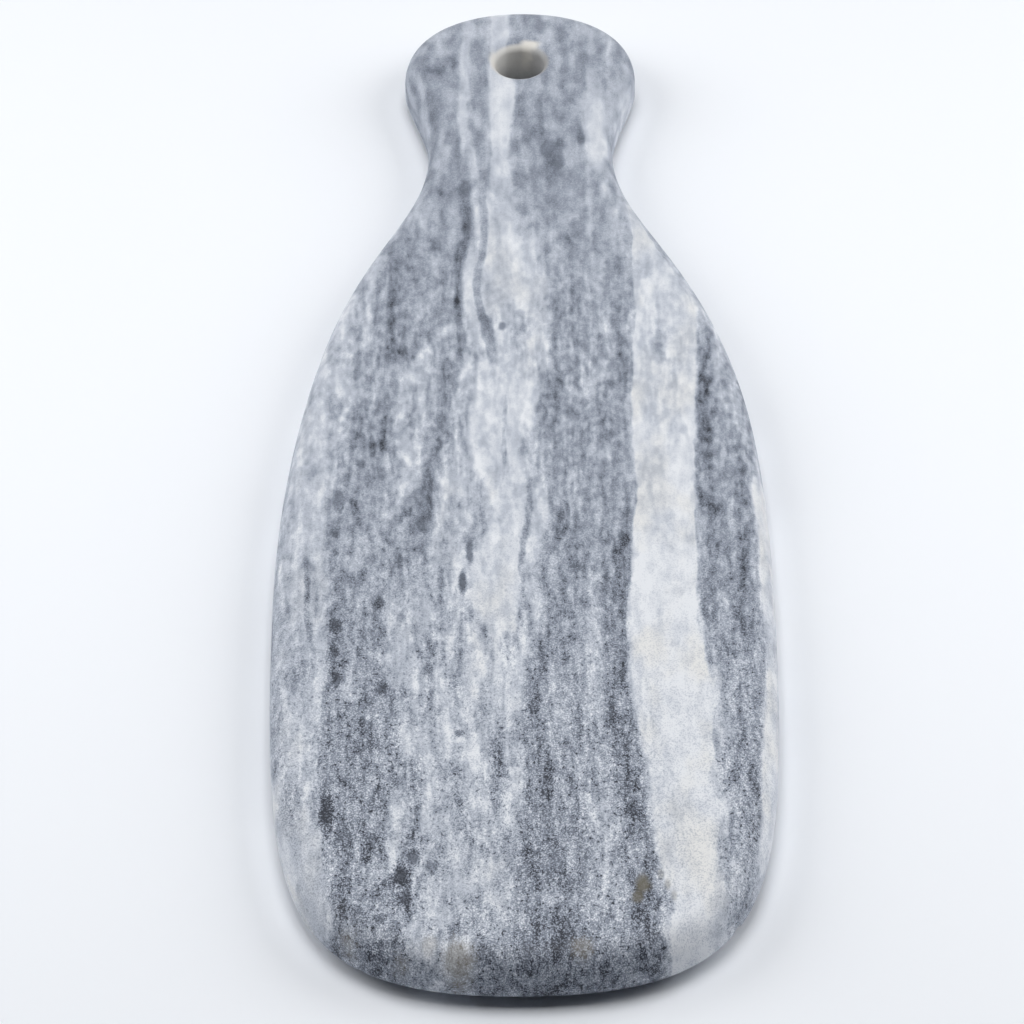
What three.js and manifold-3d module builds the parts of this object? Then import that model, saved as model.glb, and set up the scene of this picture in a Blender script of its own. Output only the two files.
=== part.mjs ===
// A marble serving board: one paddle-shaped slab of banded stone with a hanging hole drilled
// through its knob, carried on four soft bumper feet. A thin disc of adhesive bonds each foot
// to the underside of the slab.
//
// Millimetres, +Z up. The origin is on the ground under the middle of the board's length and
// width. +Y runs along the board towards the knob, and +X runs across it.

import * as THREE from "three";
import { mergeVertices } from "three/addons/utils/BufferGeometryUtils.js";
import Module from "manifold-3d";

// Slab, seen from above
const BOARD_LENGTH = 450;
const BOARD_WIDTH = 150;
const KNOB_WIDTH = 75;
const NECK_WIDTH = 59;
const KNOB_FROM_HANDLE_END = 32; // to the knob's widest line
const NECK_FROM_HANDLE_END = 70; // to the neck's narrowest line
const BELLY_FROM_FRONT_END = 150; // to the board's widest line

// Fullness of the outline's curves: the share of its span for which a curve keeps to the
// tangent at one of its ends
const KNOB_END_FULLNESS = 0.53;
const KNOB_FULLNESS_ABOVE = 0.66;
const KNOB_FULLNESS_BELOW = 0.21;
const NECK_FULLNESS_ABOVE = 0.34;
const NECK_FULLNESS_BELOW = 0.24;
const BELLY_FULLNESS_ABOVE = 0.76;
const BELLY_FULLNESS_BELOW = 0.73;
const FRONT_END_FULLNESS = 0.96;

// Slab, in section
const SLAB_THICKNESS = 15;
const TOP_EDGE_RADIUS = 8;
const BOTTOM_EDGE_RADIUS = 2;

// Hanging hole
const HOLE_DIAMETER = 16;
const HOLE_FROM_HANDLE_END = 31;
const HOLE_TOP_RIM_RADIUS = 2.5;
const HOLE_BOTTOM_RIM_RADIUS = 1;

// Feet
const FOOT_HEIGHT = 3;
const FOOT_DIAMETER = 12;
const FOOT_SKIRT = 1; // straight wall next to the bond
const FOOT_GROUND_DIAMETER = 9; // flat that meets the ground
const FOOT_FROM_SIDE = 24; // foot's middle, in from the side of the board
const FRONT_FEET_FROM_FRONT_END = 42;
const REAR_FEET_FROM_NECK = 90;

// Adhesive discs
const ADHESIVE_THICKNESS = 0.3;
const ADHESIVE_FROM_FOOT_EDGE = 0.5;

// Steps of the faceted curves
const OUTLINE_CURVE_STEPS = 14;
const TOP_EDGE_STEPS = 6;
const BOTTOM_EDGE_STEPS = 3;
const HOLE_SIDES = 40;
const RIM_STEPS = 4;
const FOOT_SIDES = 24;
const FOOT_EDGE_STEPS = 4;

// Places that follow from the sizes
const handleEndY = BOARD_LENGTH / 2;
const frontEndY = -BOARD_LENGTH / 2;
const knobY = handleEndY - KNOB_FROM_HANDLE_END;
const neckY = handleEndY - NECK_FROM_HANDLE_END;
const bellyY = frontEndY + BELLY_FROM_FRONT_END;
const holeY = handleEndY - HOLE_FROM_HANDLE_END;
const frontFeetY = frontEndY + FRONT_FEET_FROM_FRONT_END;
const rearFeetY = neckY - REAR_FEET_FROM_NECK;
const slabUndersideZ = FOOT_HEIGHT + ADHESIVE_THICKNESS;

const marble = new THREE.MeshStandardMaterial({ color: 0xa3a8af, roughness: 0.55, metalness: 0 });
const footRubber = new THREE.MeshStandardMaterial({ color: 0x4a4c4e, roughness: 0.7, metalness: 0 });
const adhesive = new THREE.MeshStandardMaterial({ color: 0xd8d6cf, roughness: 0.5, metalness: 0 });

const wasm = await Module();
wasm.setup();

// The right half of the slab's outline, from the handle end to the front end: four curves that
// meet square to X at the knob, the neck and the belly, and square to Y at the two ends.
function rightOutline() {
  const knobX = KNOB_WIDTH / 2;
  const neckX = NECK_WIDTH / 2;
  const bellyX = BOARD_WIDTH / 2;
  const knobToNeck = knobY - neckY;
  const neckToBelly = neckY - bellyY;
  const path = new THREE.Path();
  path.moveTo(0, handleEndY);
  path.bezierCurveTo(
    KNOB_END_FULLNESS * knobX, handleEndY,
    knobX, knobY + KNOB_FULLNESS_ABOVE * KNOB_FROM_HANDLE_END,
    knobX, knobY,
  );
  path.bezierCurveTo(
    knobX, knobY - KNOB_FULLNESS_BELOW * knobToNeck,
    neckX, neckY + NECK_FULLNESS_ABOVE * knobToNeck,
    neckX, neckY,
  );
  path.bezierCurveTo(
    neckX, neckY - NECK_FULLNESS_BELOW * neckToBelly,
    bellyX, bellyY + BELLY_FULLNESS_ABOVE * neckToBelly,
    bellyX, bellyY,
  );
  path.bezierCurveTo(
    bellyX, bellyY - BELLY_FULLNESS_BELOW * BELLY_FROM_FRONT_END,
    FRONT_END_FULLNESS * bellyX, frontEndY,
    0, frontEndY,
  );
  return path;
}

// Points of the whole outline with their outward normals, counter-clockwise seen from above,
// starting at the front end.
function outlineLoop() {
  const right = [];
  for (const curve of rightOutline().curves) {
    for (let step = right.length ? 1 : 0; step <= OUTLINE_CURVE_STEPS; step++) {
      const at = step / OUTLINE_CURVE_STEPS;
      const point = curve.getPoint(at);
      const tangent = curve.getTangent(at);
      right.push({ point, normal: new THREE.Vector2(-tangent.y, tangent.x) });
    }
  }
  const left = right.slice(1, -1).map(({ point, normal }) => ({
    point: new THREE.Vector2(-point.x, point.y),
    normal: new THREE.Vector2(-normal.x, normal.y),
  }));
  return [...right.reverse(), ...left];
}

// Half of the board's width at one place along its length.
function halfWidthAt(y) {
  const side = outlineLoop().map(({ point }) => point).filter(({ x }) => x >= 0);
  const next = side.findIndex((point) => point.y > y);
  const above = side[next];
  const below = side[next - 1];
  const share = (y - below.y) / (above.y - below.y);
  return THREE.MathUtils.lerp(below.x, above.x, share);
}

// Points of a quarter turn about a centre, from one angle in degrees to another.
function quarterArc(centreX, centreY, radius, fromDegrees, toDegrees, steps) {
  return Array.from({ length: steps + 1 }, (_, step) => {
    const angle = THREE.MathUtils.degToRad(
      THREE.MathUtils.lerp(fromDegrees, toDegrees, step / steps),
    );
    return new THREE.Vector2(centreX + radius * Math.cos(angle), centreY + radius * Math.sin(angle));
  });
}

// A closed body that carries a section round a loop. In the section, x is the distance in from
// the outline and y is the height. Its first and last rings are closed by flat faces.
function carrySection(loop, section) {
  const positions = [];
  for (const { x: inset, y: height } of section) {
    for (const { point, normal } of loop) {
      positions.push(point.x - inset * normal.x, point.y - inset * normal.y, height);
    }
  }
  const indices = [];
  const count = loop.length;
  for (let ring = 0; ring < section.length - 1; ring++) {
    for (let i = 0; i < count; i++) {
      const here = ring * count + i;
      const beside = ring * count + ((i + 1) % count);
      indices.push(here, beside, beside + count, here, beside + count, here + count);
    }
  }
  const topRing = (section.length - 1) * count;
  const flat = loop.map(({ point }) => point);
  for (const [a, b, c] of THREE.ShapeUtils.triangulateShape(flat, [])) {
    indices.push(topRing + a, topRing + b, topRing + c);
    indices.push(c, b, a);
  }
  const body = new THREE.BufferGeometry();
  body.setAttribute("position", new THREE.Float32BufferAttribute(positions, 3));
  body.setIndex(indices);
  return body;
}

function toSolid(geometry) {
  const bare = geometry.clone();
  bare.deleteAttribute("normal");
  bare.deleteAttribute("uv");
  const merged = mergeVertices(bare);
  return new wasm.Manifold(
    new wasm.Mesh({
      numProp: 3,
      vertProperties: merged.attributes.position.array,
      triVerts: new Uint32Array(merged.index.array),
    }),
  );
}

function toGeometry(solid) {
  const { vertProperties, triVerts } = solid.getMesh();
  const geometry = new THREE.BufferGeometry();
  geometry.setAttribute("position", new THREE.BufferAttribute(vertProperties, 3));
  geometry.setIndex(new THREE.BufferAttribute(triVerts, 1));
  geometry.computeVertexNormals();
  return geometry;
}

// A body turned about Z from a profile of radius and height, listed upwards.
function turned(profile, sides) {
  return new THREE.LatheGeometry(profile, sides).rotateX(Math.PI / 2);
}

// The stone blank: flat top and underside, a broad rounding round the top edge and a small one
// round the bottom edge.
function slabBlank() {
  const topRadius = Math.min(TOP_EDGE_RADIUS, SLAB_THICKNESS - BOTTOM_EDGE_RADIUS);
  const bottomEdge = quarterArc(
    BOTTOM_EDGE_RADIUS, BOTTOM_EDGE_RADIUS, BOTTOM_EDGE_RADIUS, 270, 180, BOTTOM_EDGE_STEPS,
  );
  const topEdge = quarterArc(
    topRadius, SLAB_THICKNESS - topRadius, topRadius, 180, 90, TOP_EDGE_STEPS,
  );
  return carrySection(outlineLoop(), [...bottomEdge, ...topEdge]);
}

// What the drill and the rim's rounding take away, standing on the slab's underside.
function holeCut() {
  const radius = HOLE_DIAMETER / 2;
  const past = SLAB_THICKNESS / 2;
  const bottomRim = quarterArc(
    radius + HOLE_BOTTOM_RIM_RADIUS, HOLE_BOTTOM_RIM_RADIUS, HOLE_BOTTOM_RIM_RADIUS, 270, 180, RIM_STEPS,
  );
  const topRim = quarterArc(
    radius + HOLE_TOP_RIM_RADIUS, SLAB_THICKNESS - HOLE_TOP_RIM_RADIUS, HOLE_TOP_RIM_RADIUS,
    180, 90, RIM_STEPS,
  );
  const profile = [
    new THREE.Vector2(0, -past),
    new THREE.Vector2(radius + HOLE_BOTTOM_RIM_RADIUS, -past),
    ...bottomRim,
    ...topRim,
    new THREE.Vector2(radius + HOLE_TOP_RIM_RADIUS, SLAB_THICKNESS + past),
    new THREE.Vector2(0, SLAB_THICKNESS + past),
  ];
  return turned(profile, HOLE_SIDES).translate(0, holeY, 0);
}

// A moulded bumper: a flat for the bond, a short straight skirt and a rounded edge that runs
// into the flat on the ground.
function footShape() {
  const radius = FOOT_DIAMETER / 2;
  const groundRadius = FOOT_GROUND_DIAMETER / 2;
  const edgeHeight = FOOT_HEIGHT - FOOT_SKIRT;
  const edge = quarterArc(0, 1, 1, 270, 360, FOOT_EDGE_STEPS).map(
    ({ x, y }) => new THREE.Vector2(THREE.MathUtils.lerp(groundRadius, radius, x), y * edgeHeight),
  );
  return turned(
    [
      new THREE.Vector2(0, 0),
      ...edge,
      new THREE.Vector2(radius, FOOT_HEIGHT),
      new THREE.Vector2(0, FOOT_HEIGHT),
    ],
    FOOT_SIDES,
  );
}

function adhesiveShape() {
  const radius = FOOT_DIAMETER / 2 - ADHESIVE_FROM_FOOT_EDGE;
  return turned(
    [
      new THREE.Vector2(0, 0),
      new THREE.Vector2(radius, 0),
      new THREE.Vector2(radius, ADHESIVE_THICKNESS),
      new THREE.Vector2(0, ADHESIVE_THICKNESS),
    ],
    FOOT_SIDES,
  );
}

function addPiece(parent, name, geometry, material, z) {
  const mesh = new THREE.Mesh(geometry, material);
  mesh.name = name;
  mesh.position.z = z;
  parent.add(mesh);
}

const board = new THREE.Group();

const slab = toGeometry(toSolid(slabBlank()).subtract(toSolid(holeCut())));
addPiece(board, "marble_slab", slab, marble, slabUndersideZ);

for (const [end, y] of [["front", frontFeetY], ["rear", rearFeetY]]) {
  const fromMiddle = halfWidthAt(y) - FOOT_FROM_SIDE;
  for (const [side, x] of [["left", -fromMiddle], ["right", fromMiddle]]) {
    const stand = new THREE.Group();
    stand.position.set(x, y, 0);
    addPiece(stand, `${end}_${side}_foot`, footShape(), footRubber, 0);
    addPiece(stand, `${end}_${side}_adhesive`, adhesiveShape(), adhesive, FOOT_HEIGHT);
    board.add(stand);
  }
}

export default board;
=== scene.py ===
"""Marble serving board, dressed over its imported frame.

A paddle-shaped slab of banded grey and white marble, honed and matt, has a hanging hole drilled through
its knob. It stands on four bumper feet, each bonded to the underside by an adhesive disc. The board lies
along Y with the knob at +Y. Lengths are in metres, and in millimetres where a comment says so.
"""

import math
from typing import NamedTuple

import bpy
import numpy as np
from mathutils import Matrix, Vector


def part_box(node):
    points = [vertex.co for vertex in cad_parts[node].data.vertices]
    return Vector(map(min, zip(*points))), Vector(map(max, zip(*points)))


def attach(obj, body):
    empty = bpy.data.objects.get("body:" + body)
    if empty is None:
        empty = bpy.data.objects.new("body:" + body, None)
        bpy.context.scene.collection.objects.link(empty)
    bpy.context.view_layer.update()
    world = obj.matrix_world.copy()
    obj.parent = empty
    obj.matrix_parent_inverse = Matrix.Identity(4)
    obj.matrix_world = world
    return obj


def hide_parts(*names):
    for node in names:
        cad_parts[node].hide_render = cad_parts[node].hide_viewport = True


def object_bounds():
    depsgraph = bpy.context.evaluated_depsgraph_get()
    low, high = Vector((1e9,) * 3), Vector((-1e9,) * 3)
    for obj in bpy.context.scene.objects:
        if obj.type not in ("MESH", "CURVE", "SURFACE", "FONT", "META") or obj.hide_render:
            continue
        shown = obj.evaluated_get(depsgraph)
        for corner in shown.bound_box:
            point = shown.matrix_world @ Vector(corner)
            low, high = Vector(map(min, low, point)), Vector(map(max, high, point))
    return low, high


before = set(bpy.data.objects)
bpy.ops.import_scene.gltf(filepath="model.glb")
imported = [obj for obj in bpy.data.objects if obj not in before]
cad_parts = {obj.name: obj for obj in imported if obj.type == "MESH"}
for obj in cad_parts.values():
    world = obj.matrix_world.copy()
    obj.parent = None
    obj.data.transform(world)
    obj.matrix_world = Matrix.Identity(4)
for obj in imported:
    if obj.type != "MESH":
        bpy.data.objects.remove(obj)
CAD_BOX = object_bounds()

bl_info = {
    "name": "Marble Serving Board",
    "version": (1, 0, 0),
    "blender": (4, 5, 0),
    "location": "3D View > Sidebar > Serving Board",
    "description": "Builds a banded marble serving board on bonded bumper feet, and a plain studio for it",
    "category": "Add Mesh",
}

MM = 0.001
BODY = "root"
SLAB_NODE = "marble_slab"
FOOT_PLACES = ("front_left", "front_right", "rear_left", "rear_right")
SLAB_LOW, SLAB_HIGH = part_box(SLAB_NODE)
SLAB_SIZE = SLAB_HIGH - SLAB_LOW

# How far each curve of the outline follows its tangent before it turns to the next point, as a share.
KNOB_END_FULLNESS = 0.53
KNOB_ABOVE_FULLNESS = 0.66
KNOB_BELOW_FULLNESS = 0.21
NECK_ABOVE_FULLNESS = 0.34
NECK_BELOW_FULLNESS = 0.24
BELLY_ABOVE_FULLNESS = 0.76
BELLY_BELOW_FULLNESS = 0.73
FRONT_END_FULLNESS = 0.96

# The hand finishing leaves the shoulders a little to one side, around this place along the board.
LEAN_PLACE = 30 * MM
LEAN_REACH = 50 * MM

# Samples of each curve, points round the outline, and how much closer these lie beside a chip.
CURVE_SAMPLES = 600
OUTLINE_POINTS = 900
CHIP_DENSITY = 4.0
CHIP_REACH = 5 * MM

# Rings of each part of the section, and the fine rings that keep the flat faces flat beside rounded edges.
BORE_RINGS = 9
TOP_RIM_RINGS = 9
TOP_FACE_RINGS = 16
TOP_EDGE_RINGS = 24
SIDE_RINGS = 7
BOTTOM_EDGE_RINGS = 9
UNDERSIDE_RINGS = 12
BOTTOM_RIM_RINGS = 5
EDGE_RING = 0.6 * MM
FACE_RING = 2.0 * MM

# How the rays from the hole to the outline are spread and bent.
RAY_EVENNESS = 0.2
RAY_TURN = 1.6

# A bumper foot, as shares of its radius, its height or its ground face.
GROUND_SHARE = 0.75
SKIRT_SHARE = 2 / 3
BOWL_SHARE = 0.86
LIP_SHARE = 0.92
GATE_SHARE = 0.16
DISH_DEPTH = 0.2 * MM
GATE_HEIGHT = 0.12 * MM
CROWN_RADIUS = 0.25 * MM


class Chip(NamedTuple):
    """A small chip out of the lower edge: its place in plan, the ball that scoops it and its depth."""

    across: float
    along: float
    ball: float
    depth: float


CHIPS = (
    Chip(63 * MM, -201 * MM, 3.2 * MM, 1.5 * MM),
    Chip(-48 * MM, -216 * MM, 2.2 * MM, 0.5 * MM),
    Chip(-75 * MM, -96 * MM, 2.6 * MM, 0.6 * MM),
    Chip(74 * MM, -40 * MM, 2.0 * MM, 0.5 * MM),
    Chip(-31 * MM, 214 * MM, 2.4 * MM, 0.6 * MM),
)


class Band(NamedTuple):
    """A band or vein that runs along the board.

    Its tone goes from 0, black, to 1, white. Softness is the share of its half width over which its sides
    fade. Each stop is (along, across, half width, strength), the first three in millimetres from the middle
    of the board.
    """

    name: str
    tone: float
    softness: float
    stops: tuple


# Painted in this order, broad bands first.
BANDS = (
    Band("left margin", 0.74, 0.30, (
        (75, -50, 4, 0.0), (60, -58, 4, 0.5), (40, -60, 5, 0.7), (10, -66, 8, 0.8), (-25, -68, 8, 0.85),
        (-60, -69, 8.5, 0.6), (-90, -69, 8.5, 0.5), (-125, -68, 8, 0.6), (-160, -67, 7.5, 0.55),
        (-185, -66, 7, 0.7), (-205, -63.5, 6, 0.7), (-228, -60, 8, 0.7))),
    Band("knob left", 0.47, 0.30, (
        (222, -26, 14, 0.5), (200, -27.5, 11, 0.85), (180, -27.5, 10, 0.85), (150, -25, 8, 0.75),
        (135, -23, 8, 0.7), (120, -24, 7, 0.3), (112, -25, 7, 0.0))),
    Band("knob right", 0.47, 0.30, (
        (222, 24, 6, 0.3), (205, 25, 8, 0.7), (190, 26, 8, 0.7), (176, 27, 5, 0.5), (164, 28, 4, 0.0))),
    Band("left dark", 0.39, 0.12, (
        (132, -25, 7, 0.2), (115, -27, 10, 0.7), (85, -32, 12.5, 0.75), (62, -34, 13, 0.8),
        (40, -41.5, 7.5, 0.75), (25, -43.5, 7.5, 0.75), (10, -46.5, 8.7, 0.8), (-25, -48.3, 8.8, 0.8),
        (-60, -49, 9, 0.75), (-100, -49, 9.3, 0.8), (-118, -48, 11, 0.85), (-145, -48, 11.5, 0.9),
        (-165, -49.5, 9.5, 0.9), (-190, -47.5, 9, 0.85), (-215, -44, 10, 0.85), (-232, -40, 14, 0.85))),
    Band("mottled, upper", 0.42, 0.50, (
        (62, -25, 5, 0.0), (45, -24, 5, 0.6), (20, -25, 5, 0.7), (0, -26, 5.5, 0.7), (-15, -28, 5, 0.7),
        (-35, -32, 5, 0.75), (-55, -34, 4.5, 0.6), (-70, -36, 4, 0.3), (-82, -36, 4, 0.0))),
    Band("middle dark", 0.45, 0.12, (
        (220, 9, 11, 0.8), (190, 9.5, 11.5, 0.8), (165, 8.5, 10.8, 0.9), (140, 10.5, 12.5, 0.9),
        (115, 13, 14, 0.8), (100, 20, 14, 0.7), (70, 22, 13.5, 0.75), (40, 21, 13, 0.65),
        (10, 18.3, 14.2, 0.85), (-10, 18.5, 15, 0.85), (-30, 21, 13.2, 0.85), (-55, 18.5, 14.5, 0.88),
        (-75, 18.2, 13.3, 0.88), (-100, 16.8, 13.8, 0.88), (-115, 15.5, 15.5, 0.88),
        (-140, 16.8, 16.8, 0.88), (-160, 17.8, 17.3, 0.88), (-175, 17.3, 18.8, 0.88),
        (-200, 16.5, 20.5, 0.88), (-230, 17.3, 21.3, 0.9))),
    Band("right dark", 0.43, 0.15, (
        (60, 60, 3, 0.2), (40, 62, 4, 0.2), (20, 64, 5.5, 0.35), (0, 64.5, 6.5, 0.8),
        (-20, 62.5, 6.5, 0.86), (-45, 63.3, 8, 0.88), (-75, 63.5, 7.5, 0.85), (-95, 64.5, 7.5, 0.82),
        (-120, 64, 6, 0.82), (-140, 63.2, 5.5, 0.85), (-165, 63.8, 4.8, 0.8), (-185, 62.3, 4.8, 0.6),
        (-205, 60.5, 4.5, 0.4), (-222, 57, 4, 0.3))),
    Band("right white", 0.96, 0.05, (
        (120, 35, 1.5, 0.0), (105, 37, 2.5, 0.6), (90, 40, 5.5, 0.55), (75, 43, 8, 0.7),
        (58, 45, 9.5, 0.85), (40, 44.5, 10.3, 0.85), (20, 43.7, 10, 0.88), (0, 43.2, 9.3, 0.93),
        (-20, 43.8, 9, 0.96), (-40, 42.6, 9.4, 0.97), (-60, 42.3, 10.2, 0.97), (-80, 41.3, 10.2, 0.95),
        (-92, 42, 11, 0.95), (-115, 43.5, 12.3, 0.97), (-135, 44, 11, 0.98), (-160, 46.5, 11.3, 0.98),
        (-180, 45.6, 9, 0.98), (-200, 49.3, 8.3, 0.95), (-218, 48.6, 7.6, 0.95), (-235, 48.3, 8, 0.95))),
    Band("right white, grey heart", 0.76, 0.50, (
        (95, 45, 3, 0.0), (75, 46, 4.5, 0.7), (55, 45, 8, 0.75), (35, 43.5, 8, 0.75), (15, 43, 6, 0.6),
        (0, 42, 5, 0.5), (-20, 40.5, 5, 0.45), (-45, 43, 5, 0.45), (-58, 43, 3, 0.0))),
    Band("right white, blue side", 0.82, 0.60, (
        (-90, 34.5, 2, 0.0), (-115, 36, 3.5, 0.5), (-140, 38.5, 4, 0.6), (-165, 40.5, 4, 0.6),
        (-190, 43, 3.5, 0.5), (-215, 43.5, 3, 0.0))),
    Band("right dark, mottled side", 0.72, 0.70, (
        (-100, 56.5, 2, 0.0), (-120, 58, 2.5, 0.5), (-150, 59, 2.5, 0.5), (-175, 58, 4, 0.6),
        (-195, 57.5, 4.5, 0.6), (-215, 55.5, 4, 0.5), (-228, 53, 3, 0.0))),
    Band("right rim white", 0.93, 0.25, (
        (-8, 74, 2, 0.0), (-22, 73.5, 4, 0.9), (-40, 75, 4.5, 0.95), (-70, 75.5, 4.5, 0.8),
        (-100, 76, 4.5, 0.6), (-130, 73.5, 4, 0.8), (-155, 72.5, 4, 0.85), (-172, 71, 3.5, 0.8),
        (-190, 69, 3, 0.6), (-206, 66, 2, 0.0))),
    Band("middle white", 0.89, 0.20, (
        (222, -6, 3, 0.6), (205, -6.5, 2.5, 0.7), (190, -8, 2.5, 0.8), (182, -6.3, 4.3, 0.9),
        (165, -6, 4, 0.88), (150, -6.5, 3, 0.8), (138, -6.5, 3.2, 0.55), (120, -6, 5, 0.4),
        (100, -4, 7, 0.6), (85, -3.5, 8, 0.6), (70, -4.5, 7.5, 0.58), (60, -3, 6, 0.3), (50, -1, 6, 0.35),
        (40, -5, 8.5, 0.55), (25, -5.3, 9.5, 0.8), (10, -7, 9.2, 0.92), (0, -8, 8, 0.9),
        (-10, -6.5, 6.5, 0.85), (-22, -4.5, 5.5, 0.72), (-32, -4, 4.3, 0.75), (-45, -6.5, 6, 0.85),
        (-58, -8.5, 7, 0.92), (-70, -8, 6.3, 0.85), (-80, -7, 5, 0.7), (-90, -5.5, 4.5, 0.55),
        (-105, -4.5, 4, 0.3), (-125, -6, 4, 0.0))),
    Band("pale strip beside the middle", 0.84, 0.40, (
        (90, 5, 2, 0.0), (75, 4.5, 3.5, 0.5), (55, 5, 3, 0.4), (35, 5, 2.5, 0.4), (10, 2, 2.5, 0.25),
        (-10, 4, 2.8, 0.15), (-22, 5, 2.6, 0.4), (-35, 4.6, 2.3, 0.65), (-45, 3, 1.8, 0.55),
        (-58, 1, 1.2, 0.0))),
    Band("pale vein from the knob", 0.82, 0.50, (
        (215, -17.5, 1.5, 0.4), (200, -17.7, 1.6, 0.6), (180, -18.8, 1.8, 0.85), (160, -18.2, 1.5, 0.85),
        (142, -17, 1.3, 0.4), (120, -14.8, 1.1, 0.2), (100, -14.5, 1.5, 0.25), (88, -16.5, 1.7, 0.75),
        (72, -16.8, 1.6, 0.85), (58, -14, 1.8, 0.8), (46, -13.5, 2.2, 0.4), (38, -13, 2, 0.0))),
    Band("dark strip from the knob", 0.40, 0.40, (
        (220, -12, 2, 0.6), (200, -13, 2.5, 0.7), (180, -13.5, 2.3, 0.65), (155, -13.5, 2.4, 0.65),
        (140, -12.5, 1.3, 0.6), (115, -12, 1.3, 0.6), (95, -12.2, 1.2, 0.7), (80, -13.8, 1.1, 0.8),
        (68, -12.7, 1.1, 0.8), (56, -10.5, 1.7, 0.8), (44, -9.5, 1.7, 0.5), (36, -9, 1, 0.0))),
    Band("knob right pale", 0.86, 0.45, (
        (205, 24, 2, 0.0), (190, 24, 2, 0.25), (180, 24.3, 2.5, 0.5), (168, 24.3, 2.6, 0.75),
        (155, 24.8, 3, 0.95), (145, 24.8, 3, 0.8), (136, 22.5, 2, 0.3), (118, 21.5, 1.2, 0.4),
        (102, 21.5, 1, 0.3), (92, 21.5, 1, 0.0))),
    Band("middle dark, right side", 0.33, 0.50, (
        (95, 29.5, 2.5, 0.0), (75, 29.3, 2.5, 0.35), (50, 30, 2, 0.3), (20, 30.5, 2, 0.4),
        (5, 30, 2.7, 0.6), (-20, 30, 3, 0.6), (-50, 29, 3.2, 0.6), (-80, 28, 3.5, 0.65),
        (-115, 28, 4, 0.75), (-140, 30, 4.2, 0.8), (-165, 32, 4, 0.8), (-190, 33.3, 4, 0.8),
        (-225, 34.5, 4.3, 0.85))),
    Band("middle dark, left side", 0.34, 0.40, (
        (-95, 4, 3, 0.0), (-115, 4, 4, 0.6), (-140, 4.5, 4.2, 0.7), (-165, 4.5, 4.8, 0.65),
        (-190, 3, 6, 0.6), (-225, 5, 8, 0.7))),
    Band("middle dark, upper streak", 0.33, 0.60, (
        (66, 11, 1.5, 0.0), (50, 11, 1.5, 0.6), (25, 11.5, 1.7, 0.6), (8, 12, 1.5, 0.5),
        (-2, 12, 1.5, 0.0))),
    Band("middle dark, pale heart", 0.68, 0.60, (
        (-62, 18.5, 2, 0.0), (-85, 20.5, 3.5, 0.7), (-100, 20.8, 3.5, 0.75), (-115, 20.3, 3.3, 0.6),
        (-140, 21.3, 3, 0.5), (-165, 22.4, 3, 0.7), (-190, 21.7, 2.8, 0.7), (-215, 21.5, 2.5, 0.4))),
    Band("front left margin", 0.74, 0.12, (
        (-158, -67, 8, 0.0), (-170, -67, 8.4, 0.6), (-184, -66.5, 8.8, 0.9), (-200, -65, 7.6, 0.9),
        (-212, -63, 7, 0.8), (-224, -60, 9, 0.5))),
    Band("middle dark, slanting pale", 0.66, 0.60, (
        (-105, 8, 1, 0.0), (-120, 10.5, 2, 0.5), (-140, 14, 2.2, 0.6), (-160, 18.5, 2.5, 0.6),
        (-180, 23, 3, 0.65), (-198, 26, 3, 0.5), (-212, 28, 2, 0.0))),
    Band("left rim grey", 0.48, 0.50, (
        (30, -72, 2, 0.0), (10, -74, 3, 0.5), (-30, -75.5, 3.5, 0.6), (-70, -76, 4.5, 0.7),
        (-120, -76, 4.5, 0.75), (-145, -75, 3.5, 0.5), (-160, -73, 2.5, 0.0))),
    # Painted shade on the rounded front edge, not a band of the stone.
    Band("front edge painted shade", 0.28, 0.50, (
        (-200, 5, 16, 0.0), (-212, 5, 22, 0.3), (-222, 5, 27, 0.6), (-236, 5, 28, 0.6))),
    Band("left rim white", 0.95, 0.50, (
        (-140, -74, 1.5, 0.0), (-152, -72.5, 1.6, 0.95), (-160, -71.5, 1.2, 0.5), (-172, -69.5, 1.3, 0.4),
        (-183, -67.5, 1.8, 0.95), (-194, -66, 1.3, 0.5), (-208, -63, 1, 0.3), (-215, -62, 1, 0.0))),
    Band("right black streak", 0.20, 0.50, (
        (72, 54.5, 0.8, 0.0), (60, 56, 1.6, 0.6), (45, 56.3, 2.2, 0.7), (25, 56.3, 2.4, 0.75),
        (5, 56.2, 2.4, 0.8), (-15, 55.5, 2.3, 0.75), (-30, 55, 1.8, 0.55), (-45, 55, 1.8, 0.5),
        (-60, 55.8, 2, 0.45), (-75, 55, 2.1, 0.55), (-86, 55.8, 1.2, 0.4), (-95, 57, 1, 0.0))),
    Band("right inner streak", 0.30, 0.60, (
        (-25, 66, 1, 0.0), (-40, 66, 1.3, 0.6), (-65, 66, 1.3, 0.6), (-80, 66, 1, 0.0))),
    Band("neck black streak", 0.24, 0.60, (
        (150, -18.5, 1.5, 0.0), (140, -18.3, 2, 0.4), (126, -17.8, 2.3, 0.85), (112, -17.5, 1.8, 0.85),
        (100, -17.5, 1.5, 0.8), (90, -18.5, 1.0, 0.45), (70, -19.5, 1.4, 0.6), (52, -19.5, 1.7, 0.7),
        (42, -19.3, 1.5, 0.5), (30, -19, 1, 0.0))),
    Band("shoulder black streak", 0.24, 0.60, (
        (104, -40.8, 0.8, 0.0), (95, -40.5, 1.3, 0.8), (70, -40, 1.5, 0.85), (48, -41, 1.4, 0.8),
        (36, -40.5, 0.8, 0.0))),
    Band("thin vein in the middle white", 0.42, 0.60, (
        (-12, 1.5, 0.5, 0.0), (-25, 2.1, 0.8, 0.75), (-40, 0.4, 0.8, 0.75), (-55, -0.5, 0.8, 0.7),
        (-70, -0.2, 0.8, 0.6), (-90, -1, 0.7, 0.3), (-100, -1, 0.7, 0.0))),
    Band("faint line in the middle white", 0.55, 0.60, (
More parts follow.
